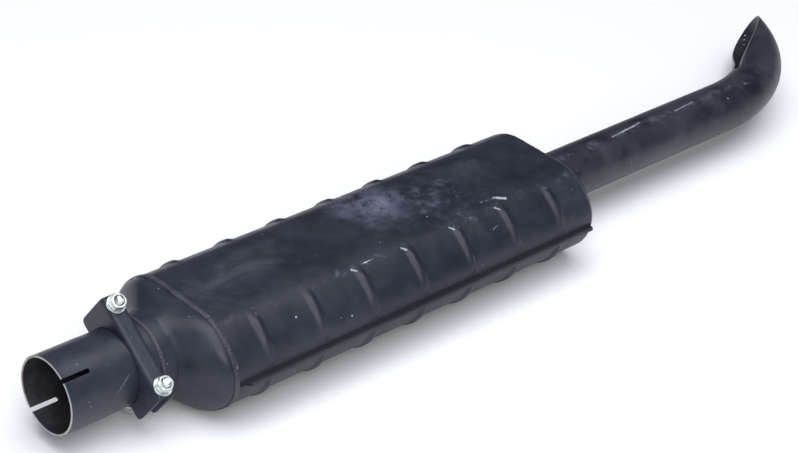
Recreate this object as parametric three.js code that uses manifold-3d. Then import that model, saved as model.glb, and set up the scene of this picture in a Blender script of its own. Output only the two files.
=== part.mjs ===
// Exhaust silencer with an oval pressed-shell body, a slotted inlet pipe with a U-bolt clamp,
// and a straight outlet pipe that ends in a bend with a slash-cut mouth.
// Millimetres, +Z up. Inside this file the pipe axis is X (inlet mouth at x = 0, outlet at +X) and
// the group is shifted at the end so that its origin is the bottom centre of the whole object's box.
import * as THREE from "three";
import { mergeVertices } from "three/addons/utils/BufferGeometryUtils.js";
import Module from "manifold-3d";

// ---- driving dimensions ----
const GAP = 0.3; // clearance between pieces that touch in the real object

// body section: a flat of +-BODY_FLAT at top and bottom, joined by half ellipses
const BODY_A = 78; // half width
const BODY_B = 46; // half height
const BODY_FLAT = 20; // half width of the flat
const BASE_FLAT = 33.5; // half width of the flat underneath
const BODY_Z = -2.5; // middle plane of the body below the pipe axis
const SHEET = 1.5; // shell sheet thickness
const BODY_X0 = 136; // front edge of the shells
const BODY_X1 = 581; // rear edge of the shells
const CREASE_Y = 45; // soft crease between broad face and flank
const CREASE_LIFT = 1.6;
const RIB_X0 = 173.8; // first rib
const RIB_PITCH = 60.8;
const RIB_COUNT = 7;
const RIB_HEIGHT = 2.4;
const RIB_HALF = 8; // half width of a rib at its foot
const RIB_CREST = 2.5; // half width of its crest
const SEAM_X0 = 144.5; // side flanges of the two shells
const SEAM_X1 = 579.5;
const SEAM_OUT = 84.5; // half width over the flanges

// front cone
const CONE_SHEET = 2;
const COLLAR_X0 = 94;
const COLLAR_X1 = 105;
const CONE_X1 = 135.7;
const CONE_SKIRT = 150;

// rear cap
const CAP_X1 = 592;
const CAP_SKIRT = 569;

// inlet pipe
const INLET_R = 35;
const INLET_WALL = 2;
const INLET_END = 128;
const SLOT_WIDTH = 4;
const SLOT_LENGTH = 27;
const SLOT_ANGLE = (37.5 * Math.PI) / 180; // from +Z towards -Y

// outlet pipe
const TAIL_R = 26.75;
const TAIL_WALL = 2;
const TAIL_X0 = 572;
const BEND_X = 882; // start of the bend, which turns towards +Y
const BEND_R = 192; // centre line radius
const BEND_TURN = (82 * Math.PI) / 180;
// slash mouth: [corner, direction along the cut, outward normal, length of the cut]
const MOUTH_CUTS = [
  [[935.5, 27.4, 9.9], [0.8751, 0.484, 0], [-0.4457, 0.8059, 0.3897], 300],
  [[935.9, 19.1, 28], [0.8813, 0.4712, -0.0297], [-0.307, 0.62, 0.7215], 74],
];
const TIP_HOLE_R = 1.5;
// [degrees along the bend, degrees round the pipe from the inside of the bend]
const TIP_HOLES = [
  [68.6, 220],
  [67.4, 231],
  [65.5, 240],
  [62.6, 251],
  [55, 284],
];

// inner tubes and baffles
const CORE_R = 32.7;
const CORE_X0 = 110;
const CORE_X1 = 330;
const OUT_CORE_R = 24.4;
const OUT_CORE_X0 = 372;
const OUT_CORE_X1 = 600;
const CORE_WALL = 1.5;
const PERF_R = 5;
const BAFFLE_X = [232, 350, 468];
const BAFFLE_RIM = 14;

// clamp
const CLAMP_X = 75.6;
const CLAMP_ANGLE = (34.5 * Math.PI) / 180; // bolt direction, from +Z towards -Y
const SADDLE_HALF = 49;
const SADDLE_WIDTH = 17;
const SADDLE_SHEET = 2.3;
const SADDLE_TOP = 38;
const SADDLE_LOW = -6;
const BOLT_R = 4; // M8
const BOLT_BEND = 39.35; // centre line radius of the U
const BOLT_TIP = 50.5;
const NUT_FLATS = 13;
const NUT_HEIGHT = 6.5;
const WASHER_R = 8.5;
const WASHER_T = 1.6;

const wasm = await Module();
wasm.setup();

// ---- helpers ----
function solid(geometry) {
  const g = geometry.index ? geometry : geometry.clone();
  g.deleteAttribute("normal");
  g.deleteAttribute("uv");
  const m = mergeVertices(g, 1e-4);
  const make = (tri) =>
    new wasm.Manifold(
      new wasm.Mesh({
        numProp: 3,
        vertProperties: new Float32Array(m.attributes.position.array),
        triVerts: tri,
      }),
    );
  const tri = [];
  const idx = m.index.array;
  for (let i = 0; i < idx.length; i += 3)
    if (idx[i] !== idx[i + 1] && idx[i + 1] !== idx[i + 2] && idx[i] !== idx[i + 2])
      tri.push(idx[i], idx[i + 1], idx[i + 2]);
  let s = make(new Uint32Array(tri));
  if (s.volume() < 0) {
    for (let i = 0; i < tri.length; i += 3)
      [tri[i + 1], tri[i + 2]] = [tri[i + 2], tri[i + 1]];
    s = make(new Uint32Array(tri));
  }
  return s;
}

function geometryOf(s) {
  const out = s.getMesh();
  const g = new THREE.BufferGeometry();
  g.setAttribute(
    "position",
    new THREE.BufferAttribute(new Float32Array(out.vertProperties), 3),
  );
  g.setIndex(new THREE.BufferAttribute(new Uint32Array(out.triVerts), 1));
  g.computeVertexNormals();
  return g;
}

// A box between two corners.
function block(x0, x1, y0, y1, z0, z1) {
  const g = new THREE.BoxGeometry(x1 - x0, y1 - y0, z1 - z0);
  g.translate((x0 + x1) / 2, (y0 + y1) / 2, (z0 + z1) / 2);
  return g;
}

// A ring about the X axis: profile of [x, radius], closed on itself.
function ring(profile, segments) {
  const pts = profile.map(([x, r]) => new THREE.Vector2(r, x));
  pts.push(pts[0].clone());
  const g = new THREE.LatheGeometry(pts, segments);
  g.rotateZ(-Math.PI / 2);
  return g;
}

// The broad faces are almost flat up to a soft crease, and drop faster beyond it.
function creaseLift(y) {
  if (y <= 20) return 0;
  return Math.max(0, CREASE_LIFT * Math.min((y - 20) / (CREASE_Y - 20), (61 - y) / (61 - CREASE_Y)));
}
// A rib is pressed only into the rounded flanks: nothing on the broad faces or at the seam.
function ribShare(ang) {
  const z = Math.cos(ang);
  if (z > 0.88) return 0;
  return Math.min(1, z / 0.36);
}

// Point number k of AROUND on a section that goes from a circle (w = 0) to the body's oval (w = 1).
// d is how far the oval lies inside the outer surface of the shells.
const AROUND = 32;
function sectionPoint(k, st) {
  const q = AROUND / 4;
  const i = ((k % AROUND) + AROUND) % AROUND;
  const quarter = Math.floor(i / q);
  const u = quarter % 2 ? q - (i - quarter * q) : i - quarter * q;
  const sy = quarter < 2 ? 1 : -1;
  const sz = quarter === 0 || quarter === 3 ? 1 : -1;
  const ang = (Math.max(u - 1, 0) / (q - 1)) * (Math.PI / 2);
  const d = st.d - (st.rib || 0) * ribShare(ang);
  const a = BODY_A - d;
  const b = BODY_B - d;
  const oy = u === 0 ? 0 : BODY_FLAT + (a - BODY_FLAT) * Math.sin(ang);
  const out = BODY_FLAT + (BODY_A - BODY_FLAT) * Math.sin(ang) * (u > 0);
  // underneath, the flat reaches out to BASE_FLAT, and the body rests on it
  const oz = sz < 0 && out < BASE_FLAT ? b : b * Math.cos(ang) + creaseLift(out);
  const c = (u / q) * (Math.PI / 2);
  const w = st.w;
  return [
    sy * (oy * w + st.r * Math.sin(c) * (1 - w)),
    sz * (oz * w + st.r * Math.cos(c) * (1 - w)) + BODY_Z * w,
  ];
}

// A closed ring with an oval section: a lathe whose rows are moved onto the section's points.
function ovalRing(stations) {
  const rows = stations.map((s) => ({ d: 0, w: 1, r: 0, ...s }));
  rows.push(rows[0]);
  const pts = rows.map((s, j) => new THREE.Vector2(10 + Math.cos(j), j));
  const g = new THREE.LatheGeometry(pts, AROUND);
  const p = g.attributes.position;
  for (let k = 0; k <= AROUND; k++)
    rows.forEach((s, j) => {
      const [y, z] = sectionPoint(k, s);
      p.setXYZ(k * rows.length + j, s.x, y, z);
    });
  return g;
}

// A curve through the given points, with its steps at exactly those points.
class PointCurve extends THREE.Curve {
  constructor(points, tangents) {
    super();
    this.points = points;
    this.tangents = tangents;
  }
  at(list, u) {
    return list[Math.round(u * (list.length - 1))].clone();
  }
  getPoint(u) {
    return this.at(this.points, u);
  }
  getPointAt(u) {
    return this.at(this.points, u);
  }
  getTangent(u) {
    return this.at(this.tangents, u);
  }
  getTangentAt(u) {
    return this.at(this.tangents, u);
  }
}

function sweep(shape, points, tangents, curveSegments) {
  return new THREE.ExtrudeGeometry(shape, {
    steps: points.length - 1,
    curveSegments,
    bevelEnabled: false,
    extrudePath: new PointCurve(points, tangents),
  });
}

function disc(r, hole) {
  const s = new THREE.Shape();
  s.absarc(0, 0, r, 0, Math.PI * 2, false);
  if (hole) {
    const h = new THREE.Path();
    h.absarc(0, 0, hole, 0, Math.PI * 2, true);
    s.holes.push(h);
  }
  return s;
}

// A rod of radius r along a direction, centred on a point.
function rod(r, length, segments, centre, direction) {
  const g = new THREE.CylinderGeometry(r, r, length, segments);
  g.applyQuaternion(
    new THREE.Quaternion().setFromUnitVectors(
      new THREE.Vector3(0, 1, 0),
      direction.clone().normalize(),
    ),
  );
  g.translate(centre.x, centre.y, centre.z);
  return g;
}

// ---- materials ----
const paint = () =>
  new THREE.MeshStandardMaterial({ color: 0x2b2d36, roughness: 0.5, metalness: 0.1 });
const darkPaint = () =>
  new THREE.MeshStandardMaterial({ color: 0x262831, roughness: 0.6, metalness: 0.1 });
const weldPaint = () =>
  new THREE.MeshStandardMaterial({ color: 0x34363f, roughness: 0.7, metalness: 0.1 });
const bareSteel = () =>
  new THREE.MeshStandardMaterial({ color: 0x6d6a68, roughness: 0.55, metalness: 0.8 });
const zinc = () =>
  new THREE.MeshStandardMaterial({ color: 0xc4ccca, roughness: 0.35, metalness: 0.9 });

const muffler = new THREE.Group();
muffler.name = "muffler";
function add(name, s, material, parent = muffler) {
  const m = new THREE.Mesh(geometryOf(s), material);
  m.name = name;
  parent.add(m);
  return m;
}

// ---- shells ----
function shellProfile() {
  const outer = [{ x: BODY_X0, d: 0 }];
  for (let i = 0; i < RIB_COUNT; i++) {
    const x = RIB_X0 + i * RIB_PITCH;
    outer.push(
      { x: x - RIB_HALF, d: 0 },
      { x: x - RIB_CREST, d: 0, rib: RIB_HEIGHT },
      { x: x + RIB_CREST, d: 0, rib: RIB_HEIGHT },
      { x: x + RIB_HALF, d: 0 },
    );
  }
  outer.push({ x: BODY_X1, d: 0 });
  return [...outer, { x: BODY_X1, d: SHEET }, { x: BODY_X0, d: SHEET }];
}
const SEAM_HALF_GAP = 0.15;
for (const side of [1, -1]) {
  const cut =
    side > 0
      ? block(0, 800, -200, 200, -200, BODY_Z + SEAM_HALF_GAP)
      : block(0, 800, -200, 200, BODY_Z - SEAM_HALF_GAP, 200);
  let s = solid(ovalRing(shellProfile())).subtract(solid(cut));
  const z0 = side > 0 ? BODY_Z + SEAM_HALF_GAP : BODY_Z - SEAM_HALF_GAP - SHEET;
  for (const y of [-1, 1]) {
    const y0 = y > 0 ? BODY_A - 1 : -SEAM_OUT;
    const y1 = y > 0 ? SEAM_OUT : -BODY_A + 1;
    s = s.add(solid(block(SEAM_X0, SEAM_X1, y0, y1, z0, z0 + SHEET)));
  }
  add(side > 0 ? "upper_shell" : "lower_shell", s, paint());
}

// ---- front cone: round collar, flare to the oval, skirt inside the shells ----
const FLARE = [
  [107.5, 0.07],
  [111, 0.22],
  [117, 0.5],
  [123.5, 0.8],
  [128.5, 0.95],
  [132, 1],
];
const collarOut = INLET_R + GAP + CONE_SHEET;
const collarIn = INLET_R + GAP;
add(
  "front_cone",
  solid(
    ovalRing([
      { x: COLLAR_X0, w: 0, r: collarOut },
      { x: COLLAR_X1, w: 0, r: collarOut },
      ...FLARE.map(([x, w]) => ({ x, w, r: collarOut, d: GAP })),
      { x: CONE_X1, d: GAP },
      { x: CONE_X1, d: SHEET + GAP },
      { x: CONE_SKIRT, d: SHEET + GAP },
      { x: CONE_SKIRT, d: SHEET + GAP + CONE_SHEET },
      { x: 133.5, d: SHEET + GAP + CONE_SHEET },
      ...FLARE.slice()
        .reverse()
        .map(([x, w]) => ({ x: x + 1.6, w: w * 0.985, r: collarIn, d: CONE_SHEET + GAP })),
      { x: COLLAR_X1 + 1, w: 0, r: collarIn },
      { x: COLLAR_X0, w: 0, r: collarIn },
    ]),
  ),
  paint(),
);

// ---- rear cap: skirt inside the shells, rounded edge, flat end with the outlet hole ----
const capHole = TAIL_R + GAP;
const capD = SHEET + GAP;
add(
  "rear_cap",
  solid(
    ovalRing([
      { x: CAP_SKIRT, d: capD },
      { x: BODY_X1 + 1, d: capD },
      { x: BODY_X1 + 5.5, d: capD + 0.9 },
      { x: BODY_X1 + 8.8, d: capD + 3.6 },
      { x: BODY_X1 + 10.5, d: capD + 7.6 },
      { x: CAP_X1, d: capD + 12 },
      { x: CAP_X1, w: 0, r: capHole },
      { x: CAP_X1 - 2, w: 0, r: capHole },
      { x: CAP_X1 - 2, d: capD + 12.4 },
      { x: BODY_X1 + 8.6, d: capD + 8.6 },
      { x: BODY_X1 + 7, d: capD + 5 },
      { x: BODY_X1 + 4.4, d: capD + 2.8 },
      { x: BODY_X1 + 1, d: capD + 2 },
      { x: CAP_SKIRT, d: capD + 2 },
    ]),
  ),
  paint(),
);

// ---- weld beads ----
add(
  "cone_weld",
  solid(
    ovalRing([
      { x: 132.6, d: -GAP },
      { x: 134, d: -0.9 },
      { x: 136.2, d: -1.2 },
      { x: 138.6, d: -0.9 },
      { x: 140, d: -GAP },
    ]),
  ),
  weldPaint(),
);
add(
  "cap_weld",
  solid(
    ovalRing([
      { x: BODY_X1 + GAP, d: capD - GAP },
      { x: BODY_X1 + GAP, d: 0.2 },
      { x: BODY_X1 + 2.2, d: 0.3 },
      { x: BODY_X1 + 4, d: capD - 0.1 },
    ]),
  ),
  weldPaint(),
);
add(
  "inlet_weld",
  solid(
    ring(
      [
        [90.2, INLET_R + GAP],
        [COLLAR_X0 - GAP, INLET_R + GAP],
        [COLLAR_X0 - GAP, collarOut + 0.5],
        [92.2, collarOut - 0.2],
      ],
      36,
    ),
  ),
  weldPaint(),
);
add(
  "tail_weld",
  solid(
    ring(
      [
        [CAP_X1 + GAP, TAIL_R + GAP],
        [CAP_X1 + 6.5, TAIL_R + GAP],
        [CAP_X1 + 3.6, TAIL_R + 3.6],
        [CAP_X1 + GAP, TAIL_R + 5],
      ],
      36,
    ),
  ),
  weldPaint(),
);

// ---- inlet pipe with two slots opposite each other ----
{
  let s = solid(
    ring(
      [
        [0, INLET_R],
        [INLET_END, INLET_R],
        [INLET_END, INLET_R - INLET_WALL],
        [0, INLET_R - INLET_WALL],
      ],
      40,
    ),
  );
  const slot = block(-2, SLOT_LENGTH - SLOT_WIDTH / 2, -SLOT_WIDTH / 2, SLOT_WIDTH / 2, -60, 60);
  slot.rotateX(SLOT_ANGLE);
  const end = new THREE.CylinderGeometry(SLOT_WIDTH / 2, SLOT_WIDTH / 2, 120, 12);
  end.rotateX(Math.PI / 2);
  end.translate(SLOT_LENGTH - SLOT_WIDTH / 2, 0, 0);
  end.rotateX(SLOT_ANGLE);
  s = s.subtract(solid(slot).add(solid(end)));
  add("inlet_pipe", s, darkPaint());
}

// ---- outlet pipe ----
const A = new THREE.Vector3(1, 0, 0);
{
  const pts = [new THREE.Vector3(TAIL_X0, 0, 0), new THREE.Vector3(BEND_X, 0, 0)];
  const tan = [A.clone(), A.clone()];
  const STEPS = 15;
  const onBend = (t) =>
    new THREE.Vector3(BEND_X + BEND_R * Math.sin(t), BEND_R * (1 - Math.cos(t)), 0);
  for (let i = 1; i <= STEPS; i++) {
    const t = (i / STEPS) * BEND_TURN;
    pts.push(onBend(t));
    tan.push(new THREE.Vector3(Math.cos(t), Math.sin(t), 0));
  }
  let s = solid(sweep(disc(TAIL_R, TAIL_R - TAIL_WALL), pts, tan, 14));
  // everything beyond a cut's corner and above its plane goes
  for (const [corner, along, normal, length] of MOUTH_CUTS) {
    const cut = block(0, length, -150, 150, 0, 300);
    const M = new THREE.Vector3(...normal).normalize();
    const W = new THREE.Vector3().crossVectors(M, new THREE.Vector3(...along)).normalize();
    const L = new THREE.Vector3().crossVectors(W, M);
    cut.applyMatrix4(new THREE.Matrix4().makeBasis(L, W, M).setPosition(...corner));
    s = s.subtract(solid(cut));
  }
  // small holes in the wall behind the mouth, one row along the rim
  for (const [turn, round] of TIP_HOLES) {
    const t = (turn * Math.PI) / 180;
    const g = (round * Math.PI) / 180;
    const dir = new THREE.Vector3(
      -Math.sin(t) * Math.cos(g),
      Math.cos(t) * Math.cos(g),
      Math.sin(g),
    );
    const mid = onBend(t).addScaledVector(dir, TAIL_R - TAIL_WALL / 2);
    s = s.subtract(solid(rod(TIP_HOLE_R, 6, 8, mid, dir)));
  }
  add("tail_pipe", s, darkPaint());
}

// ---- inner tubes and baffles ----
function perforated(x0, x1, r, rows, name) {
  let s = solid(
    ring(
      [
        [x0, r],
        [x1, r],
        [x1, r - CORE_WALL],
        [x0, r - CORE_WALL],
      ],
      20,
    ),
  );
  for (const x of rows)
    for (let i = 0; i < 3; i++) {
      const a = (i / 3) * Math.PI;
      s = s.subtract(
        solid(
          rod(PERF_R, 2 * r + 6, 6, new THREE.Vector3(x, 0, 0), new THREE.Vector3(0, Math.sin(a), Math.cos(a))),
        ),
      );
    }
  add(name, s, bareSteel());
}
perforated(CORE_X0, CORE_X1, CORE_R, [180, 265, 298], "inlet_core_tube");
perforated(OUT_CORE_X0, OUT_CORE_X1, OUT_CORE_R, [402, 434, 520], "outlet_core_tube");

function baffle(x, hole, name, passages) {
  const d = SHEET + GAP;
  let s = solid(
    ovalRing([
      { x, d },
      { x: x + BAFFLE_RIM, d },
      { x: x + BAFFLE_RIM, d: d + SHEET },
      { x: x + SHEET, d: d + SHEET },
      { x: x + SHEET, w: 0, r: hole },
      { x, w: 0, r: hole },
    ]),
  );
  for (const [y, z, r] of passages)
    s = s.subtract(
      solid(rod(r, 12, 12, new THREE.Vector3(x, y, z + BODY_Z), new THREE.Vector3(1, 0, 0))),
    );
  add(name, s, bareSteel());
}
const four = [
  [52, 0, 9],
  [-52, 0, 9],
];
baffle(BAFFLE_X[0], CORE_R + GAP, "baffle_front", four);
baffle(BAFFLE_X[1], 18, "baffle_middle", four);
baffle(BAFFLE_X[2], OUT_CORE_R + GAP, "baffle_rear", four);

// ---- clamp: local x across the bolt, y along the bolt legs, z along the pipe ----
const clamp = new THREE.Group();
clamp.name = "clamp";
const D = new THREE.Vector3(0, -Math.sin(CLAMP_ANGLE), Math.cos(CLAMP_ANGLE));
const T = new THREE.Vector3(0, Math.cos(CLAMP_ANGLE), Math.sin(CLAMP_ANGLE));
clamp.quaternion.setFromRotationMatrix(new THREE.Matrix4().makeBasis(T, D, A));
clamp.position.set(CLAMP_X, 0, 0);
muffler.add(clamp);
{
  const h = SADDLE_HALF;
  const outline = new THREE.Shape();
  outline.moveTo(-h + 3, SADDLE_TOP);
  outline.lineTo(-h, SADDLE_TOP - 3);
  outline.lineTo(-h, -1);
  outline.lineTo(-h + 2, SADDLE_LOW + 1);
  outline.lineTo(-h + 5, SADDLE_LOW);
  outline.lineTo(h - 5, SADDLE_LOW);
  outline.lineTo(h - 2, SADDLE_LOW + 1);
  outline.lineTo(h, -1);
  outline.lineTo(h, SADDLE_TOP - 3);
  outline.lineTo(h - 3, SADDLE_TOP);
  const body = new THREE.ExtrudeGeometry(outline, {
    depth: SADDLE_WIDTH,
    bevelEnabled: false,
    steps: 1,
  });
  body.translate(0, 0, -SADDLE_WIDTH / 2);
  const inner = SADDLE_WIDTH / 2 - SADDLE_SHEET;
  let s = solid(body);
  s = s.subtract(
    solid(rod(INLET_R + GAP + 0.05, 60, 48, new THREE.Vector3(), new THREE.Vector3(0, 0, 1))),
  );
  s = s.subtract(
    solid(block(-INLET_R - GAP - 0.15, INLET_R + GAP + 0.15, -30, 0, -20, 20)),
  );
  s = s.subtract(solid(block(-80, 80, -30, SADDLE_TOP - SADDLE_SHEET, -inner, inner)));
  for (const x of [-BOLT_BEND, BOLT_BEND])
    s = s.subtract(
      solid(rod(BOLT_R + 0.5, 20, 16, new THREE.Vector3(x, SADDLE_TOP, 0), new THREE.Vector3(0, 1, 0))),
    );
  add("clamp_saddle", s, paint(), clamp);
}
{
  const pts = [new THREE.Vector3(BOLT_BEND, BOLT_TIP, 0), new THREE.Vector3(BOLT_BEND, 0, 0)];
  const tan = [new THREE.Vector3(0, -1, 0), new THREE.Vector3(0, -1, 0)];
  const STEPS = 14;
  for (let i = 1; i <= STEPS; i++) {
    const t = (i / STEPS) * Math.PI;
    pts.push(new THREE.Vector3(BOLT_BEND * Math.cos(t), -BOLT_BEND * Math.sin(t), 0));
    tan.push(new THREE.Vector3(-Math.sin(t), -Math.cos(t), 0));
  }
  pts.push(new THREE.Vector3(-BOLT_BEND, BOLT_TIP, 0));
  tan.push(new THREE.Vector3(0, 1, 0));
  add("u_bolt", solid(sweep(disc(BOLT_R), pts, tan, 6)), zinc(), clamp);
}
const hardware = [
  ["upper", BOLT_BEND],
  ["lower", -BOLT_BEND],
];
for (const [side, x] of hardware) {
  const at = (y0, y1) => new THREE.Vector3(x, (y0 + y1) / 2, 0);
  const up = new THREE.Vector3(0, 1, 0);
  const w0 = SADDLE_TOP + GAP;
  const w1 = w0 + WASHER_T;
  add(
    "washer_" + side,
    solid(rod(WASHER_R, WASHER_T, 20, at(w0, w1), up)).subtract(
      solid(rod(BOLT_R + 0.4, WASHER_T + 2, 16, at(w0, w1), up)),
    ),
    zinc(),
    clamp,
  );
  const n0 = w1 + GAP;
  const n1 = n0 + NUT_HEIGHT;
  const hex = rod(NUT_FLATS / Math.sqrt(3), NUT_HEIGHT, 6, at(n0, n1), up);
  add(
    "nut_" + side,
    solid(hex).subtract(solid(rod(BOLT_R + 0.35, NUT_HEIGHT + 2, 16, at(n0, n1), up))),
    zinc(),
    clamp,
  );
}

// ---- origin at the bottom centre of the box ----
muffler.updateMatrixWorld(true);
const box = new THREE.Box3();
muffler.traverse((o) => {
  if (!o.isMesh) return;
  box.expandByObject(o, true);
});
muffler.position.set(
  -(box.min.x + box.max.x) / 2,
  -(box.min.y + box.max.y) / 2,
  -box.min.z,
);

export default muffler;
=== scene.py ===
# Looks for the exhaust silencer: fine surfaces, welds, thread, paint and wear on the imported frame.
# Lengths below are millimetres in the pipe's own frame (x = 0 at the inlet mouth, z = 0 on the pipe axis) and are turned into row metres by P().
import math

import bmesh
import bpy
import numpy as np
from mathutils import Matrix, Vector, noise


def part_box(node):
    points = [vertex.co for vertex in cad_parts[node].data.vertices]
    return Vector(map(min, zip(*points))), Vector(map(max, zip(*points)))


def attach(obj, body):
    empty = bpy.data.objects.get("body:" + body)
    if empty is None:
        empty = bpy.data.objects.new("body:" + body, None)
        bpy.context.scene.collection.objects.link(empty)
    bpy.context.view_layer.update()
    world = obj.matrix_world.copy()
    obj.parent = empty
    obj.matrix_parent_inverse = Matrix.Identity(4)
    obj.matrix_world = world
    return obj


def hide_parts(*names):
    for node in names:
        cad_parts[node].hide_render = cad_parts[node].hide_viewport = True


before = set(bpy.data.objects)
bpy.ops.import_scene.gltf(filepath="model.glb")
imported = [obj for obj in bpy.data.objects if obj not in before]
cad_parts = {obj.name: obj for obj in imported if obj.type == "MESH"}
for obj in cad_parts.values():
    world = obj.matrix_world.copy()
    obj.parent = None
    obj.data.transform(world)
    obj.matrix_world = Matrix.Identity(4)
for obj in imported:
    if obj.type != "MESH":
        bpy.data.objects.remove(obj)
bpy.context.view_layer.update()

lo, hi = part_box("inlet_pipe")
OX = lo[0] * 1000.0
OY = (lo[1] + hi[1]) * 500.0
OZ = (lo[2] + hi[2]) * 500.0
OFF = np.array([OX, OY, OZ])


def P(a):
    return (np.asarray(a, float) + OFF) / 1000.0


# ------------------------------------------------------------------ camera
scene = bpy.context.scene
cam_data = bpy.data.cameras.new("camera")
cam = bpy.data.objects.new("camera", cam_data)
scene.collection.objects.link(cam)
RIGHT = Vector((0.71569, -0.69029, 0.10623)).normalized()
BACK = Vector((-0.63026, -0.5728, 0.5241)).normalized()
UP = BACK.cross(RIGHT).normalized()
RIGHT = UP.cross(BACK).normalized()
m = Matrix((RIGHT, UP, BACK)).transposed().to_4x4()
m.translation = Vector(P((-803.42, -1089.08, 1017.97)))
cam.matrix_world = m
cam_data.sensor_fit = "HORIZONTAL"
cam_data.sensor_width = 36.0
cam_data.lens = 2060.25 / 798.0 * 36.0
cam_data.clip_start = 0.05
cam_data.clip_end = 60.0
scene.camera = cam


# ------------------------------------------------------------------ materials
class N:
    """A short way to write shader nodes."""

    def __init__(self, name):
        self.mat = bpy.data.materials.new(name)
        self.mat.use_nodes = True
        self.t = self.mat.node_tree
        self.bsdf = next(n for n in self.t.nodes if n.type == "BSDF_PRINCIPLED")
        self.co = self.t.nodes.new("ShaderNodeTexCoord").outputs["Object"]

    def node(self, kind, **props):
        n = self.t.nodes.new(kind)
        for k, v in props.items():
            setattr(n, k, v)
        return n

    def put(self, socket, v):
        if hasattr(v, "is_output"):
            self.t.links.new(v, socket)
        elif v is not None:
            socket.default_value = v

    def math(self, op, a, b=None, c=None, clamp=False):
        n = self.node("ShaderNodeMath", operation=op, use_clamp=clamp)
        for i, v in enumerate((a, b, c)):
            if v is not None:
                self.put(n.inputs[i], v)
        return n.outputs[0]

    def vmath(self, op, a, b=None, scale=None):
        n = self.node("ShaderNodeVectorMath", operation=op)
        self.put(n.inputs[0], a)
        if b is not None:
            self.put(n.inputs[1], b)
        if scale is not None:
            self.put(n.inputs["Scale"], scale)
        return n.outputs["Value"] if op in ("LENGTH", "DOT_PRODUCT", "DISTANCE") else n.outputs[0]

    def noise(self, scale, detail=4.0, rough=0.55, vec=None, distortion=0.0):
        n = self.node("ShaderNodeTexNoise")
        self.put(n.inputs["Vector"], self.co if vec is None else vec)
        n.inputs["Scale"].default_value = scale
        n.inputs["Detail"].default_value = detail
        n.inputs["Roughness"].default_value = rough
        n.inputs["Distortion"].default_value = distortion
        return n.outputs["Fac"]

    def voronoi(self, scale, vec=None):
        n = self.node("ShaderNodeTexVoronoi")
        self.put(n.inputs["Vector"], self.co if vec is None else vec)
        n.inputs["Scale"].default_value = scale
        return n.outputs["Distance"]

    def band(self, v, a, b):
        """0 below a, 1 above b."""
        n = self.node("ShaderNodeMapRange", interpolation_type="SMOOTHSTEP")
        self.put(n.inputs["Value"], v)
        n.inputs["From Min"].default_value = min(a, b)
        n.inputs["From Max"].default_value = max(a, b)
        n.inputs["To Min"].default_value = 0.0 if b > a else 1.0
        n.inputs["To Max"].default_value = 1.0 if b > a else 0.0
        return n.outputs["Result"]

    def mix(self, fac, a, b):
        n = self.node("ShaderNodeMix", data_type="RGBA")
        self.put(n.inputs[0], fac)
        self.put(n.inputs[6], a)
        self.put(n.inputs[7], b)
        return n.outputs[2]

    def lerp(self, fac, a, b):
        n = self.node("ShaderNodeMix", data_type="FLOAT")
        self.put(n.inputs[0], fac)
        self.put(n.inputs[2], a)
        self.put(n.inputs[3], b)
        return n.outputs[0]

    def most(self, *vs):
        out = vs[0]
        for v in vs[1:]:
            out = self.math("MAXIMUM", out, v)
        return out

    def normal_z(self):
        g = self.node("ShaderNodeNewGeometry")
        s = self.node("ShaderNodeSeparateXYZ")
        self.put(s.inputs[0], g.outputs["Normal"])
        return s.outputs[2]

    def axis(self, i):
        s = self.node("ShaderNodeSeparateXYZ")
        self.put(s.inputs[0], self.co)
        return s.outputs[i]

    def streak(self, a, b, width, soft=0.5, ragged=0.35, grain=260.0):
        """A mark along the line a-b (pipe millimetres), ragged at its edge."""
        A, B = P(a), P(b)
        d = B - A
        L = float(np.linalg.norm(d))
        d = d / L
        rel = self.vmath("SUBTRACT", self.co, tuple(A))
        along = self.vmath("DOT_PRODUCT", rel, tuple(d))
        along = self.math("MINIMUM", self.math("MAXIMUM", along, 0.0), L)
        near = self.vmath("SCALE", tuple(d), scale=along)
        dist = self.vmath("LENGTH", self.vmath("SUBTRACT", rel, near))
        wob = self.math("MULTIPLY", self.math("SUBTRACT", self.noise(grain, 3.0), 0.5), 2.0 * ragged * width / 1000.0 * 2.0)
        dist = self.math("ADD", dist, wob)
        return self.band(dist, width / 1000.0, width / 1000.0 * (1 - soft))

    def spot(self, c, radius, soft=0.6, ragged=0.3, grain=120.0):
        dist = self.vmath("DISTANCE", self.co, tuple(P(c)))
        wob = self.math("MULTIPLY", self.math("SUBTRACT", self.noise(grain, 3.0), 0.5), 2.0 * ragged * radius / 1000.0)
        return self.band(self.math("ADD", dist, wob), radius / 1000.0, radius / 1000.0 * (1 - soft))

    def bump(self, height, strength, distance=0.001, normal=None):
        n = self.node("ShaderNodeBump")
        n.inputs["Strength"].default_value = strength
        n.inputs["Distance"].default_value = distance
        self.put(n.inputs["Height"], height)
        if normal is not None:
            self.put(n.inputs["Normal"], normal)
        return n.outputs["Normal"]

    def finish(self, color, roughness, normal, metallic=None, specular=None):
        self.put(self.bsdf.inputs["Base Color"], color)
        self.put(self.bsdf.inputs["Roughness"], roughness)
        self.put(self.bsdf.inputs["Normal"], normal)
        if metallic is not None:
            self.put(self.bsdf.inputs["Metallic"], metallic)
        if specular is not None:
            self.bsdf.inputs["Specular IOR Level"].default_value = specular
        return self.mat


def rgb(r, g, b):
    return (r, g, b, 1.0)


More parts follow.
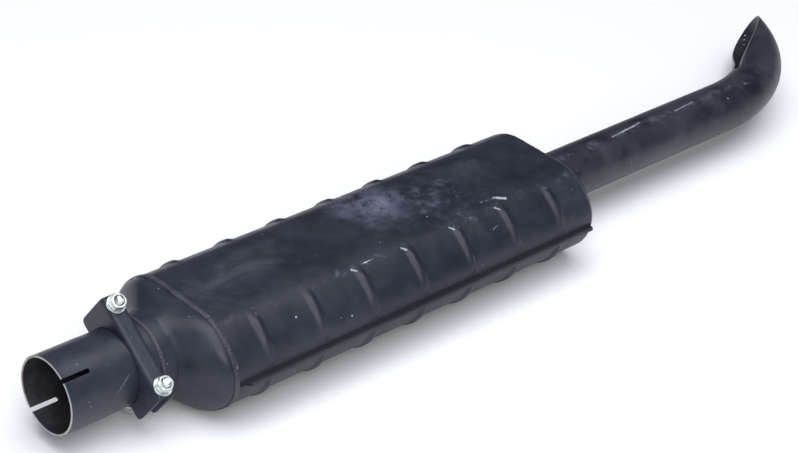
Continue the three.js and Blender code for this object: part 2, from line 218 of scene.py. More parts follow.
def paint(name, dark, light, rough, marks=None, dust=0.5, peel=0.12, wave=0.10, bare=None, specular=0.34, spatter=0.0):
    """Thin sprayed black paint over pressed or drawn steel."""
    n = N(name)
    big = n.noise(7.0, 3.0)
    mid = n.noise(38.0, 5.0, 0.6)
    fine = n.noise(420.0, 3.0)
    col = n.mix(n.band(n.lerp(0.45, big, mid), 0.36, 0.64), dark, light)
    # handling dust lies on what faces up
    up = n.band(n.normal_z(), 0.55, 0.95)
    cloud = n.band(n.noise(16.0, 6.0, 0.62, distortion=0.6), 0.52, 0.78)
    dusty = n.math("MULTIPLY", n.math("MULTIPLY", up, cloud), dust)
    col = n.mix(n.math("MULTIPLY", dusty, 0.35), col, rgb(0.10, 0.11, 0.135))
    # specks
    speck = n.math("MULTIPLY", n.band(n.voronoi(95.0), 0.085, 0.045), n.band(n.noise(13.0, 2.0), 0.50, 0.60))
    col = n.mix(n.math("MULTIPLY", speck, 0.55), col, rgb(0.30, 0.32, 0.35))
    rough_v = n.math("ADD", rough, n.math("MULTIPLY", n.math("SUBTRACT", mid, 0.5), 0.35))
    rough_v = n.math("ADD", rough_v, n.math("MULTIPLY", dusty, 0.25))
    metal = 0.0
    for fn, color, rv, mv, amount in marks or []:
        mask = n.math("MULTIPLY", fn(n), amount)
        col = n.mix(mask, col, color)
        rough_v = n.lerp(mask, rough_v, rv)
        if mv:
            metal = n.math("MAXIMUM", metal, n.math("MULTIPLY", mask, mv))
    rough_v = n.math("MINIMUM", n.math("MAXIMUM", rough_v, 0.16), 0.95)
    nrm = n.bump(n.noise(20.0, 2.0), wave, 0.004)
    nrm = n.bump(fine, peel, 0.0006, nrm)
    if spatter:
        nrm = n.bump(n.noise(900.0, 4.0, 0.7), spatter, 0.0012, nrm)
    return n.finish(col, rough_v, nrm, metal, specular)


def seam_painted_shade(n):
    """Painted shade: a near-black line in the corner between a shell's foot and its flange, standing in for the shadow
    along the seam.
    """
    z = n.math("SUBTRACT", n.axis(2), (OZ - 2.5) / 1000.0)
    z = n.math("ABSOLUTE", z)
    y = n.math("ABSOLUTE", n.math("SUBTRACT", n.axis(1), OY / 1000.0))
    return n.math("MULTIPLY", n.band(z, 0.0042, 0.0022), n.band(y, 0.0845, 0.0815))


# pale bluish tone, used both for worn haze and for painted highlights
HAZE_AND_SHEEN = rgb(0.19, 0.20, 0.29)
PALE = rgb(0.42, 0.44, 0.50)
shell_marks = [
    # painted shade: near-black line along the seam, in place of its shadow
    (seam_painted_shade, rgb(0.003, 0.003, 0.005), 0.85, 0, 0.9),
    # painted highlight: the next three pale bluish cloudy patches on the top stand in for the soft highlight of its
    # crown
    (lambda n: n.math("MULTIPLY", n.spot((372, 18, 44), 52, 0.95, 0.5, 40.0), n.band(n.noise(60.0, 5.0, 0.65), 0.30, 0.62)), HAZE_AND_SHEEN, 0.62, 0, 0.62),
    (lambda n: n.math("MULTIPLY", n.spot((374, 14, 44), 20, 0.9, 0.5, 70.0), n.band(n.noise(110.0, 5.0, 0.65), 0.32, 0.6)), rgb(0.22, 0.23, 0.30), 0.7, 0, 0.45),
    (lambda n: n.math("MULTIPLY", n.spot((425, 2, 43), 60, 0.9, 0.6, 30.0), n.band(n.noise(75.0, 5.0, 0.7), 0.45, 0.72)), HAZE_AND_SHEEN, 0.6, 0, 0.35),
    (lambda n: n.streak((479, -37.4, 43.6), (490, -42, 40.0), 2.3, 0.6, 0.6), PALE, 0.6, 0, 0.85),
    (lambda n: n.streak((462, -36, 43.0), (478, -37.4, 43.6), 1.6, 0.9, 0.8), HAZE_AND_SHEEN, 0.6, 0, 0.6),
    (lambda n: n.streak((294.4, -46.7, 40.8), (320.2, -45.3, 38.9), 0.75, 0.6, 0.5), PALE, 0.5, 0, 0.9),
    (lambda n: n.streak((455, -62, 29), (474, -58, 31), 0.8, 0.8, 0.6), HAZE_AND_SHEEN, 0.6, 0, 0.6),
    (lambda n: n.math("MULTIPLY", n.streak((150, -46, 40.2), (578, -46, 40.2), 6.5, 0.9, 0.6, 70.0), n.band(n.noise(85.0, 6.0, 0.7, distortion=0.8), 0.53, 0.72)), HAZE_AND_SHEEN, 0.6, 0, 0.5),
    (lambda n: n.most(*[n.streak((x - 6.5, -47, 39.5), (x - 3, -50, 38.0), 1.3, 0.7, 0.5) for x in (295.4, 356.2, 417.0, 477.8)]), PALE, 0.45, 0, 0.75),
    (lambda n: n.most(*[n.spot(c, r, 0.6, 0.3) for c, r in (((175, -20.1, 45.9), 1.1), ((211.7, -62.4, 28.5), 1.3), ((248.4, -41.7, 39.9), 0.9), ((336.3, -33.1, 42.3), 1.0), ((402.1, -26.3, 42.9), 1.2), ((160.2, -42.3, 39.8), 1.2), ((300, 2, 44), 0.9), ((520, 10, 44), 1.0), ((268, -74, 14), 1.1))]), PALE, 0.5, 0, 0.85),
]
M_SHELL = paint("shell_paint", rgb(0.0135, 0.0165, 0.0255), rgb(0.026, 0.030, 0.043), 0.40, shell_marks, dust=0.9, peel=0.10, wave=0.16)
# painted shade: the lower shell takes a slightly darker copy of the shell paint for the shade under the body, plus the
# painted seam shade line
M_SHELL_SHADED = paint("shell_paint_shaded_low", rgb(0.0125, 0.0155, 0.024), rgb(0.024, 0.028, 0.040), 0.44, [(seam_painted_shade, rgb(0.003, 0.003, 0.005), 0.85, 0, 0.9)], dust=0.3, peel=0.10, wave=0.16)
M_CONE = paint("cone_paint", rgb(0.015, 0.0185, 0.029), rgb(0.029, 0.034, 0.049), 0.38, None, dust=0.6, peel=0.14, wave=0.14)

pipe_marks = [
    (lambda n: n.band(n.noise(31.0, 5.0, 0.6, distortion=0.7), 0.56, 0.70), rgb(0.030, 0.021, 0.023), 0.55, 0, 0.5),
    # painted highlight: a pale patchy band along the top of the tail pipe, partly worn paint and partly the highlight
    # of its top line; the next mark carries that highlight line on into the bend
    (lambda n: n.math("MULTIPLY", n.streak((600, -5, 26.4), (905, -4, 26.4), 6.0, 0.9, 0.7, 40.0), n.band(n.noise(70.0, 6.0, 0.7, distortion=0.6), 0.46, 0.68)), HAZE_AND_SHEEN, 0.6, 0, 0.35),
    (lambda n: n.streak((905, -8, 25.6), (928, -10, 25.2), 1.2, 0.8, 0.6), PALE, 0.5, 0, 0.6),
    (lambda n: n.streak((706.8, -4.2, 26.2), (736.2, -1.9, 26.5), 1.5, 0.7, 0.8), PALE, 0.5, 0, 0.65),
    (lambda n: n.streak((690, -5.2, 26.2), (708, -4.2, 26.2), 0.9, 0.8, 0.8), PALE, 0.5, 0, 0.5),
    (lambda n: n.streak((790.2, -5.7, 26.0), (821.2, -3.4, 26.3), 1.0, 0.7, 0.7), PALE, 0.5, 0, 0.45),
    (lambda n: n.spot((668, -12, 22), 16, 0.9, 0.5, 60.0), HAZE_AND_SHEEN, 0.6, 0, 0.10),
    (lambda n: n.spot((869, -15, 21.5), 1.4, 0.7, 0.4), PALE, 0.5, 0, 0.7),
    (lambda n: n.streak((862, -21, 14), (869, -18, 17), 1.1, 0.7, 0.6), PALE, 0.5, 0, 0.6),
]
M_TAIL = paint("tail_paint", rgb(0.0085, 0.010, 0.0155), rgb(0.034, 0.037, 0.049), 0.42, pipe_marks, dust=0.5, peel=0.12, wave=0.22)


def inside(n):
    """The inlet's bore, which carries little paint."""
    y = n.axis(1)
    z = n.axis(2)
    yy = n.math("POWER", n.math("SUBTRACT", y, OY / 1000.0), 2.0)
    zz = n.math("POWER", n.math("SUBTRACT", z, OZ / 1000.0), 2.0)
    r = n.math("SQRT", n.math("ADD", yy, zz))
    return n.band(r, 0.03395, 0.0336)


def rim(n):
    return n.band(n.axis(0), (OX + 0.75) / 1000.0, (OX + 0.15) / 1000.0)


inlet_marks = [
    (lambda n: inside(n), rgb(0.030, 0.030, 0.036), 0.60, 0.3, 0.85),
    (lambda n: n.math("MULTIPLY", inside(n), n.band(n.noise(55.0, 6.0, 0.7), 0.42, 0.7)), rgb(0.075, 0.073, 0.080), 0.55, 0.5, 0.6),
    (lambda n: rim(n), rgb(0.42, 0.42, 0.43), 0.38, 0.8, 0.92),
    (lambda n: n.math("MULTIPLY", rim(n), n.band(n.noise(45.0, 4.0), 0.50, 0.62)), rgb(0.30, 0.17, 0.13), 0.6, 0.3, 0.7),
    (lambda n: n.streak((44, -35, 3), (62, -31, 17), 0.55, 0.7, 0.5), HAZE_AND_SHEEN, 0.5, 0, 0.5),
    (lambda n: n.streak((14, -25, -24), (58, -33.5, -10), 0.5, 0.8, 0.5), HAZE_AND_SHEEN, 0.5, 0, 0.45),
]
M_INLET = paint("inlet_paint", rgb(0.0165, 0.020, 0.031), rgb(0.031, 0.036, 0.052), 0.37, inlet_marks, dust=0.3, peel=0.16, wave=0.14)
weld_marks = [
    (lambda n: n.band(n.noise(210.0, 5.0, 0.7), 0.60, 0.72), PALE, 0.5, 0.2, 0.45),
]
M_WELD = paint("weld_paint", rgb(0.020, 0.023, 0.032), rgb(0.058, 0.062, 0.080), 0.46, weld_marks, dust=0.2, peel=0.3, wave=0.2, spatter=0.35)
M_CLAMP = paint("clamp_paint", rgb(0.016, 0.0195, 0.033), rgb(0.032, 0.037, 0.058), 0.40, None, dust=0.4, peel=0.15, wave=0.12)


def zinc(name):
    n = N(name)
    mid = n.noise(160.0, 5.0, 0.6)
    col = n.mix(n.band(mid, 0.35, 0.65), rgb(0.60, 0.66, 0.64), rgb(0.80, 0.83, 0.81))
    col = n.mix(n.band(n.noise(420.0, 3.0), 0.62, 0.72), col, rgb(0.36, 0.36, 0.33))
    rough = n.lerp(n.noise(90.0, 4.0), 0.22, 0.46)
    nrm = n.bump(n.noise(700.0, 4.0), 0.15, 0.0006)
    return n.finish(col, rough, nrm, 1.0)


def steel(name):
    n = N(name)
    mid = n.noise(60.0, 5.0, 0.6)
    col = n.mix(n.band(mid, 0.35, 0.7), rgb(0.20, 0.19, 0.18), rgb(0.34, 0.33, 0.32))
    col = n.mix(n.band(n.noise(22.0, 4.0), 0.55, 0.75), col, rgb(0.16, 0.09, 0.06))
    rough = n.lerp(mid, 0.42, 0.7)
    nrm = n.bump(n.noise(500.0, 4.0), 0.2, 0.0006)
    return n.finish(col, rough, nrm, 0.75)


M_ZINC = zinc("zinc_plate")
M_STEEL = steel("inner_steel")


# ------------------------------------------------------------------ mesh helpers
def mesh_object(name, verts, faces, mat, sharp=38.0):
    me = bpy.data.meshes.new(name)
    me.from_pydata([tuple(v) for v in verts], [], [tuple(f) for f in faces])
    bm = bmesh.new()
    bm.from_mesh(me)
    bmesh.ops.recalc_face_normals(bm, faces=bm.faces)
    bm.to_mesh(me)
    bm.free()
    me.polygons.foreach_set("use_smooth", [True] * len(me.polygons))
    if sharp is not None:
        me.set_sharp_from_angle(angle=math.radians(sharp))
    me.materials.append(mat)
    o = bpy.data.objects.new(name, me)
    scene.collection.objects.link(o)
    return o


def grid(name, pts, mat, loop_u=False, loop_v=False, cap_v=False, sharp=38.0, metres=True):
    """pts[u][v] in pipe millimetres. cap_v closes the first and last v rows, each with one face."""
    a = np.asarray(pts, float)
    nu, nv = a.shape[:2]
    v = P(a.reshape(-1, 3)) if metres else a.reshape(-1, 3)
    faces = []
    for i in range(nu if loop_u else nu - 1):
        i2 = (i + 1) % nu
        for j in range(nv if loop_v else nv - 1):
            j2 = (j + 1) % nv
            faces.append((i * nv + j, i2 * nv + j, i2 * nv + j2, i * nv + j2))
    if cap_v:
        faces.append([i * nv for i in range(nu)])
        faces.append([i * nv + nv - 1 for i in reversed(range(nu))])
    return mesh_object(name, v, faces, mat, sharp)


def apply_mods(o):
    dg = bpy.context.evaluated_depsgraph_get()
    me = bpy.data.meshes.new_from_object(o.evaluated_get(dg))
    o.modifiers.clear()
    old = o.data
    o.data = me
    bpy.data.meshes.remove(old)


def cut(o, cutters, sharp=38.0, bevel=0.0):
    for c in cutters:
        mod = o.modifiers.new("cut", "BOOLEAN")
        mod.operation = "DIFFERENCE"
        mod.solver = "EXACT"
        mod.object = c
    apply_mods(o)
    for c in cutters:
        bpy.data.objects.remove(c)
    if bevel:
        b = o.modifiers.new("bevel", "BEVEL")
        b.width = bevel / 1000.0
        b.segments = 2
        b.limit_method = "ANGLE"
        b.angle_limit = math.radians(50)
        apply_mods(o)
    o.data.polygons.foreach_set("use_smooth", [True] * len(o.data.polygons))
    o.data.set_sharp_from_angle(angle=math.radians(sharp))


def box_cutter(x0, x1, y0, y1, z0, z1, matrix):
    """A cutter box in its own frame, placed by a 4x4 in pipe millimetres."""
    bm = bmesh.new()
    vs = []
    for x in (x0, x1):
        for y in (y0, y1):
            for z in (z0, z1):
                vs.append(bm.verts.new(tuple(P((matrix @ Vector((x, y, z)))[:]))))
    for f in ((0, 1, 3, 2), (4, 6, 7, 5), (0, 4, 5, 1), (2, 3, 7, 6), (0, 2, 6, 4), (1, 5, 7, 3)):
        bm.faces.new([vs[i] for i in f])
    bmesh.ops.recalc_face_normals(bm, faces=bm.faces)
    me = bpy.data.meshes.new("cutter")
    bm.to_mesh(me)
    bm.free()
    o = bpy.data.objects.new("cutter", me)
    scene.collection.objects.link(o)
    return o


def rod_cutter(centre, direction, radius, length, seg=24):
    d = Vector(direction).normalized()
    q = d.to_track_quat("Z", "Y")
    verts, faces = [], []
    for s in (-0.5, 0.5):
        for i in range(seg):
            t = 2 * math.pi * i / seg
            v = q @ Vector((radius * math.cos(t), radius * math.sin(t), s * length)) + Vector(centre)
            verts.append(P(v[:]))
    for i in range(seg):
        j = (i + 1) % seg
        faces.append((i, j, seg + j, seg + i))
    faces.append(list(reversed(range(seg))))
    faces.append([seg + i for i in range(seg)])
    return mesh_object("cutter", verts, faces, M_STEEL, None)


def nz(x, y, z, s):
    return noise.noise(Vector((x * s, y * s, z * s)))


def smooth(t):
    t = min(max(t, 0.0), 1.0)
    return t * t * (3 - 2 * t)


def place(o, body, slot_name, *nodes):
    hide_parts(*nodes)
    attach(o, body)


# ------------------------------------------------------------------ body sections
BODY_A, BODY_B, FLAT, BODY_Z, SHEET = 78.0, 46.0, 20.0, -2.5, 1.5
X0, X1 = 136.0, 581.0
RIB_X = [173.8 + 60.8 * i for i in range(7)]
RIB_H = 2.4


def crease_lift(y):
    """The broad faces stay almost flat up to a soft crease and drop faster beyond it."""
    out = 0.0
    for e in (-2.0, -1.0, 0.0, 1.0, 2.0):
        v = y + e
        out += max(0.0, 1.6 * min((v - 20) / 25.0, (61 - v) / 16.0)) / 5
    return out


def oval(t, d, flat=FLAT):
    """Point on the section at t, 0 at the top, 1 at the +Y side, 2 at the bottom, 3 at the -Y side. d is inward."""
    t = t % 4.0
    q = int(t)
    u = t - q
    if q % 2:
        u = 1 - u
    a, b = BODY_A - d, BODY_B - d
    k = 0.16  # share of the quarter spent on the flat
    if u < k:
        y, z = flat * u / k, b
    else:
        g = (u - k) / (1 - k) * math.pi / 2
        y, z = flat + (a - flat) * math.sin(g), b * math.cos(g) + crease_lift(flat + (BODY_A - flat) * math.sin(g))
    return (y if q < 2 else -y), (z if q in (0, 3) else -z)


def rib(x):
    h = 0.0
    for c in RIB_X:
        d = abs(x - c)
        if d < 6.0:
            # rounded crest with hollow feet
            h = max(h, (0.5 + 0.5 * math.cos(math.pi * d / 6.0)) ** 0.85)
    return h


def shell(name, side, mat):
    xs = [X0]
    x = X0
    while x < X1 - 0.01:
        near = min(abs(x - c) for c in RIB_X)
        x = min(x + (1.1 if near < 10 else 4.0), X1)
        xs.append(x)
    n = 84
    ts = [-1 + 2 * i / (n - 1) for i in range(n)] if side > 0 else [1 + 2 * i / (n - 1) for i in range(n)]
    cols = []
    for x in xs:
        fl = smooth((x - 143.5) / 2.5) * (1 - smooth((x - 578.0) / 2.0))
        h = rib(x)
        outer, inner = [], []
        for t in ts:
            y, z = oval(t, 0)
            zz = abs(z)
            # pressed into the flank only, pointed at both ends
            fade = smooth((zz - 5.0) / 10.0) * (1.0 - smooth((zz - 36.0) / 7.0))
            amp = RIB_H * h * fade
            dent = -0.45 * (0.5 + 0.5 * nz(x, y, z, 0.017)) * smooth((zz - 3) / 8) if side > 0 else 0.0
            oy, oz = oval(t, -(amp + dent))
            iy, iz = oval(t, SHEET - amp * 0.9 - dent)
            floor_z = 0.15
            outer.append((oy, side * max(abs(oz), floor_z)))
            inner.append((iy, side * max(abs(iz), floor_z)))
        w_far = -0.3 + 0.3 * nz(x, 40, 0, 0.06)
        w_near = -0.3 + 0.3 * nz(x, -40, 0, 0.06)
        s = 1 if side > 0 else -1
        # the section starts on the y = -78 side for the upper shell and on the y = +78 side for the lower shell
        first = -1 if side > 0 else 1
        wf = w_near if first < 0 else w_far
        wl = w_far if first < 0 else w_near
        tipf = BODY_A + 0.4 + (6.1 + wf) * fl
        tipl = BODY_A + 0.4 + (6.1 + wl) * fl
        th = SHEET * 1.0
        # foot fillet: the first outer points are lifted onto the flange's top face
        def foot(pt, sgn):
            y, z = pt
            zz = abs(z)
            if zz < th + 2.2:
                k = 1 - (zz - 0.15) / (th + 2.05)
                lift = th + 0.15 + (zz - 0.15) * (2.05 / (th + 2.05)) * 0.999
                y2 = y + sgn * 1.6 * max(k, 0) ** 2 * fl
                return (y2, s * (lift if fl > 0.02 else zz))
            return pt
        o2 = [foot(p, first if i < n // 2 else -first) for i, p in enumerate(outer)]
        loop = []
        loop.append((first * tipf, s * 0.15))
        loop.append((first * (tipf + 0.05), s * (0.15 + th * 0.5 * fl)))
        loop.append((first * (tipf - 0.25 * fl), s * (0.15 + th * fl)))
        loop += o2
        loop.append((-first * (tipl - 0.25 * fl), s * (0.15 + th * fl)))
        loop.append((-first * (tipl + 0.05), s * (0.15 + th * 0.5 * fl)))
        loop.append((-first * tipl, s * 0.15))
        loop += list(reversed(inner))
        cols.append([(x, y, z + BODY_Z) for y, z in loop])
    a = np.array(cols).transpose(1, 0, 2)
    return grid(name, a, mat, loop_u=True, cap_v=True, sharp=42.0)


place(shell("upper_shell_skin", 1, M_SHELL), "muffler", "shell_paint", "upper_shell")
place(shell("lower_shell_skin", -1, M_SHELL_SHADED), "muffler", "shell_paint", "lower_shell")

# ------------------------------------------------------------------ cone
FLARE = [(105, 0.0), (107.5, 0.07), (111, 0.22), (117, 0.5), (123.5, 0.8), (128.5, 0.95), (132, 1.0), (135.7, 1.0)]


def flare(x):
    for (a, wa), (b, wb) in zip(FLARE, FLARE[1:]):
        if x <= b:
            return wa + (wb - wa) * (x - a) / (b - a)
    return 1.0


def soft_flare(x):
    """The flare with its corners eased."""
    return float(np.mean([flare(min(max(x + d, 105.0), 135.7)) for d in (-2.4, -1.2, 0.0, 1.2, 2.4)])) if x > 105 else flare(105)


def blend_section(t, w, r, d):
    y, z = oval(t, d)
    q = (t % 4.0) * math.pi / 2
    return y * w + r * math.sin(q) * (1 - w), z * w + r * math.cos(q) * (1 - w) + BODY_Z * w


def ring_ts(n):
    return [4.0 * i / n for i in range(n)]


prof = [(94.0, 0, 37.0, 0.3), (94.3, 0, 37.3, 0.3)]
prof += [(x, 0, 37.3, 0.3) for x in (96, 99, 102, 104)]
x = 105.0
while x < 135.6:
    prof.append((x, soft_flare(x), 37.3, 0.35))
    x += 1.0
prof += [(135.7, 1, 37.3, 0.6), (135.7, 1, 37.3, 1.8), (149.6, 1, 37.3, 1.8), (150, 1, 37.3, 2.3), (149.8, 1, 37.3, 3.8), (134, 1, 37.3, 3.8)]
x = 132.0
while x > 106:
    prof.append((x + 1.2, soft_flare(x) * 0.985, 35.3, 2.4))
    x -= 2.0
prof += [(106, 0, 35.3, 0), (94.3, 0, 35.3, 0), (94.0, 0, 35.6, 0)]
a = []
for t in ring_ts(144):
    row = []
    for x, w, r, d in prof:
        y, z = blend_section(t, w, r, d)
        row.append((x, y, z))
    a.append(row)
place(grid("front_cone_skin", a, M_CONE, loop_u=True, loop_v=True, sharp=40.0), "muffler", "shell_paint", "front_cone")

# ------------------------------------------------------------------ rear cap
D0 = SHEET + 0.3
CX = X1
prof = [(569, 1, D0 + 0.3), (569.4, 1, D0), (CX + 0.6, 1, D0)]
for i in range(1, 11):
    g = i / 10 * math.pi / 2
    prof.append((CX + 0.6 + 10.4 * math.sin(g), 1, D0 + 12.0 * (1 - math.cos(g))))
hole = 26.75 + 0.3
for i in range(1, 6):
    prof.append((592.0, 1 - i / 5, D0 + 12.0))
prof += [(591.6, 0, D0 + 12), (590.2, 0, D0 + 12)]
for i in range(1, 5):
    prof.append((590.0, i / 4, D0 + 12.6))
for i in range(9, -1, -1):
    g = i / 10 * math.pi / 2
    prof.append((CX + 0.4 + 8.4 * math.sin(g), 1, D0 + 2 + 10.2 * (1 - math.cos(g))))
prof += [(569.4, 1, D0 + 2), (569, 1, D0 + 1.6)]
a = []
for t in ring_ts(128):
    a.append([(x,) + blend_section(t, w, hole, d) for x, w, d in prof])
place(grid("rear_cap_skin", a, M_CONE, loop_u=True, loop_v=True, sharp=40.0), "muffler", "shell_paint", "rear_cap")


# ------------------------------------------------------------------ weld beads
def oval_length(n=720):
    pts = [oval(4.0 * i / n, 0) for i in range(n + 1)]
    s = [0.0]
    for (y0, z0), (y1, z1) in zip(pts, pts[1:]):
        s.append(s[-1] + math.hypot(y1 - y0, z1 - z0))
    return np.array(s)


S_OVAL = oval_length()


def ripple(s, pitch, seed):
    """Stacked puddles of a hand-run bead: rises quickly, falls slowly."""
    ph = s / pitch + 0.35 * noise.noise(Vector((s * 0.05, seed, 0)))
    f = ph - math.floor(ph)
    return (1 - f) ** 0.7 * min(1.0, f * 6.0)


def bead_on_oval(name, x_mid, half, height, d_base, pitch, seed, lean=0.0, rear=False):
    n = 560
    rows = []
    m = 9
    for i in range(n):
        t = 4.0 * i / n
        s = float(np.interp(i / n, np.linspace(0, 1, len(S_OVAL)), S_OVAL))
        r = ripple(s, pitch, seed)
        wob = 0.9 * noise.noise(Vector((s * 0.035, seed + 3, 0))) + 0.35 * noise.noise(Vector((s * 0.3, seed + 5, 0)))
        hh = height * min(1.0, 0.42 + 0.34 * r + 0.55 * abs(noise.noise(Vector((s * 0.16, seed + 9, 0)))))
        ww = half * (0.86 + 0.16 * r + 0.2 * noise.noise(Vector((s * 0.08, seed + 12, 0))))
        row = []
        for j in range(m):
            g = math.pi * j / (m - 1)
            xx = x_mid + wob * 0.6 - ww * math.cos(g) + lean * (1 - math.sin(g))
            d = d_base - hh * math.sin(g) ** 0.8
            if rear:
                d += 0.9 * (1 - math.cos(g)) * 0.5
            y, z = oval(t, d)
            row.append((xx, y, z + BODY_Z))
        # closing line under the bead
        for j in (0.66, 0.33):
            xx = x_mid + wob * 0.6 - ww + 2 * ww * j
            y, z = oval(t, d_base + (0.45 if rear else 0.02))
            row.append((xx, y, z + BODY_Z))
        rows.append(row)
    return grid(name, rows, M_WELD, loop_u=True, loop_v=True, sharp=70.0)


place(bead_on_oval("cone_weld_bead", 136.3, 2.9, 1.15, -0.02, 2.9, 1.0), "muffler", "weld_paint", "cone_weld")
place(bead_on_oval("cap_weld_bead", X1 + 1.9, 1.9, 1.5, 1.35, 3.4, 7.0, rear=True), "muffler", "weld_paint", "cap_weld")


def bead_on_pipe(name, x_base, r_pipe, leg_x, leg_r, pitch, seed, back=1, mat=None):
    """A fillet bead round the pipe: leg_x along the pipe, leg_r up the face it meets. back = 1 lies after the face, -1 before it."""
    n = 260
    rows = []
    m = 9
    for i in range(n):
        g = 2 * math.pi * i / n
        s = g * r_pipe
        r = ripple(s, pitch, seed)
        k = 0.74 + 0.2 * r + 0.24 * noise.noise(Vector((math.cos(g) * 1.7, math.sin(g) * 1.7, seed)))
        k2 = 0.74 + 0.2 * r + 0.3 * noise.noise(Vector((math.cos(g) * 2.3, math.sin(g) * 2.3, seed + 4)))
        lx, lr = leg_x * min(k, 1.0), leg_r * min(k2, 1.0)
        row = []
        for j in range(m):
            u = j / (m - 1)
            bulge = math.sin(math.pi * u) * 0.16
            xx = lx * ((1 - u) + bulge)
            rr = lr * (u + bulge)
            row.append((x_base + back * xx, (r_pipe + rr) * math.sin(g), (r_pipe + rr) * math.cos(g)))
        row.append((x_base, r_pipe * math.sin(g), r_pipe * math.cos(g)))
        rows.append(row)
    return grid(name, rows, M_WELD, loop_u=True, loop_v=True, sharp=70.0)


place(bead_on_pipe("inlet_weld_bead", 93.85, 35.06, 3.6, 2.4, 3.2, 21.0, back=-1), "muffler", "weld_paint", "inlet_weld")
place(bead_on_pipe("tail_weld_bead", 592.1, 26.8, 8.0, 6.0, 3.6, 31.0, back=1), "muffler", "weld_paint", "tail_weld")

# ------------------------------------------------------------------ inlet pipe
prof = [(0.35, 35.0), (2, 35.0), (8, 35.0), (20, 35.02), (38, 35.02), (44, 34.98), (50, 34.78), (56, 34.72), (80, 34.72), (94, 34.85), (110, 34.9), (127.6, 34.9), (128, 34.6), (128, 33.2), (127.7, 33), (60, 33), (8, 33), (0.3, 33.0), (0.0, 33.3), (0.0, 34.6)]
a = []
for i in range(192):
    g = 2 * math.pi * i / 192
    row = []
    for x, r in prof:
        rr = r + (0.12 * nz(x, 30 * math.sin(g), 30 * math.cos(g), 0.03) - 0.12 if 0.5 < x < 90 and r > 34 else 0)
        row.append((x, rr * math.sin(g), rr * math.cos(g)))
    a.append(row)
inlet = grid("inlet_pipe_skin", a, M_INLET, loop_u=True, loop_v=True, sharp=40.0)
SLOT = math.radians(37.5)
rot = Matrix.Rotation(SLOT, 4, "X")
slot_a = box_cutter(-3, 25, -2, 2, -60, 60, rot)
slot_b = rod_cutter((25, 0, 0), (0, -math.sin(SLOT), math.cos(SLOT)), 2.0, 120, 20)
cut(inlet, [slot_a, slot_b], 40.0)
place(inlet, "muffler", "pipe_paint", "inlet_pipe")

# ------------------------------------------------------------------ outlet pipe
AV = Vector((1, 0, 0))
NV = Vector((0, 0, 1))
TAIL_R, TAIL_IN, BEND_X, BEND_R, BEND_TURN = 26.75, 24.75, 882.0, 192.0, math.radians(82)


def on_bend(b):
    return Vector((BEND_X + BEND_R * math.sin(b), BEND_R * (1 - math.cos(b)), 0))


def tail_frame(s):
    """Centre and the normal towards the bend's inside at distance s along the pipe."""
    if s <= BEND_X:
        return AV * s, Vector((0, 1, 0))
    b = (s - BEND_X) / BEND_R
    return on_bend(b), Vector((-math.sin(b), math.cos(b), 0))


WRINKLES = (
    # distance along the pipe, half width, height, middle and half width round the pipe (radians)
    (896.0, 4.5, -0.9, 2.3, 0.75),
    (905.0, 4.0, 0.5, 2.2, 0.85),
    (921.0, 5.0, -0.9, 1.9, 0.7),
    (931.0, 4.5, 0.45, 2.0, 0.7),
    (952.0, 5.5, -0.5, 2.5, 0.7),
)


def tail_shape(s, g):
    """How far the wall stands off the true circle: shallow dents and puckers left by the bending."""
    out = 0.0
    for c, wdt, amp, g0, gw in WRINKLES:
        dg = math.atan2(math.sin(g - g0), math.cos(g - g0))
        if abs(dg) < gw:
            slant = (s - c - 9.0 * dg) / wdt
            out += amp * math.exp(-slant * slant) * math.cos(dg / gw * math.pi / 2) ** 2
    return min(out, 0.0)


ss = [572.0] + list(np.arange(580, 870, 16.0)) + list(np.arange(872, BEND_X + BEND_R * BEND_TURN, 1.9))
a = []
NG = 144
for i in range(NG):
    g = 2 * math.pi * i / NG
    row_o, row_i = [], []
    for s in ss:
        s = float(s)
        c, nrm = tail_frame(s)
        d = nrm * math.cos(g) + NV * math.sin(g)
        off = tail_shape(s, g)
        w = 0.06 * noise.noise(Vector((s * 0.02, math.cos(g), math.sin(g)))) - 0.06
        row_o.append(tuple(c + d * (TAIL_R + off + w)))
        row_i.append(tuple(c + d * (TAIL_IN + off)))
    a.append(row_o + row_i[::-1])
tail = grid("tail_pipe_skin", a, M_TAIL, loop_u=True, loop_v=True, sharp=40.0)
cutters = []
for corner, along, normal, length in (
    ((935.68, 27.08, 9.74), (0.8751, 0.484, 0), (-0.4457, 0.8059, 0.3897), 300),
    ((935.9, 19.1, 28), (0.8813, 0.4712, -0.0297), (-0.307, 0.62, 0.7215), 74),
):
    M = Vector(normal).normalized()
    W = M.cross(Vector(along)).normalized()
    L = W.cross(M)
    mt = Matrix((L, W, M)).transposed().to_4x4()
    mt.translation = Vector(corner)
    cutters.append(box_cutter(0, length, -150, 150, 0, 300, mt))
for turn, round_ in ((68.6, 220), (67.4, 231), (65.5, 240), (62.6, 251), (55, 284)):
    t, g = math.radians(turn), math.radians(round_)
    d = Vector((-math.sin(t) * math.cos(g), math.cos(t) * math.cos(g), math.sin(g)))
    cutters.append(rod_cutter(on_bend(t) + d * (TAIL_R - 1), d, 1.5, 7, 16))
cut(tail, cutters, 40.0)
place(tail, "muffler", "pipe_paint", "tail_pipe")

# ------------------------------------------------------------------ clamp
CLAMP_X = 75.6
PHI = math.radians(34.5)
DV = Vector((0, -math.sin(PHI), math.cos(PHI)))
TV = Vector((0, math.cos(PHI), math.sin(PHI)))


def C(t, d, z):
    return tuple(Vector((CLAMP_X, 0, 0)) + TV * t + DV * d + AV * z)


HALF, HW, TOP, LOW, RB, TS = 49.0, 8.5, 38.0, -6.0, 3.8, 2.3


def low_edge(t):
    """The lower edge of a flange: an arc round the pipe, then the ears."""
    r = 35.45
    at = abs(t)
    if at < r:
        return math.sqrt(r * r - at * at) if at < r - 0.01 else LOW
    e = LOW
    if at > HALF - 5:
        k = (at - (HALF - 5)) / 5
        e = LOW + 5 * (1 - math.sqrt(max(0.0, 1 - k * k)))
    return e


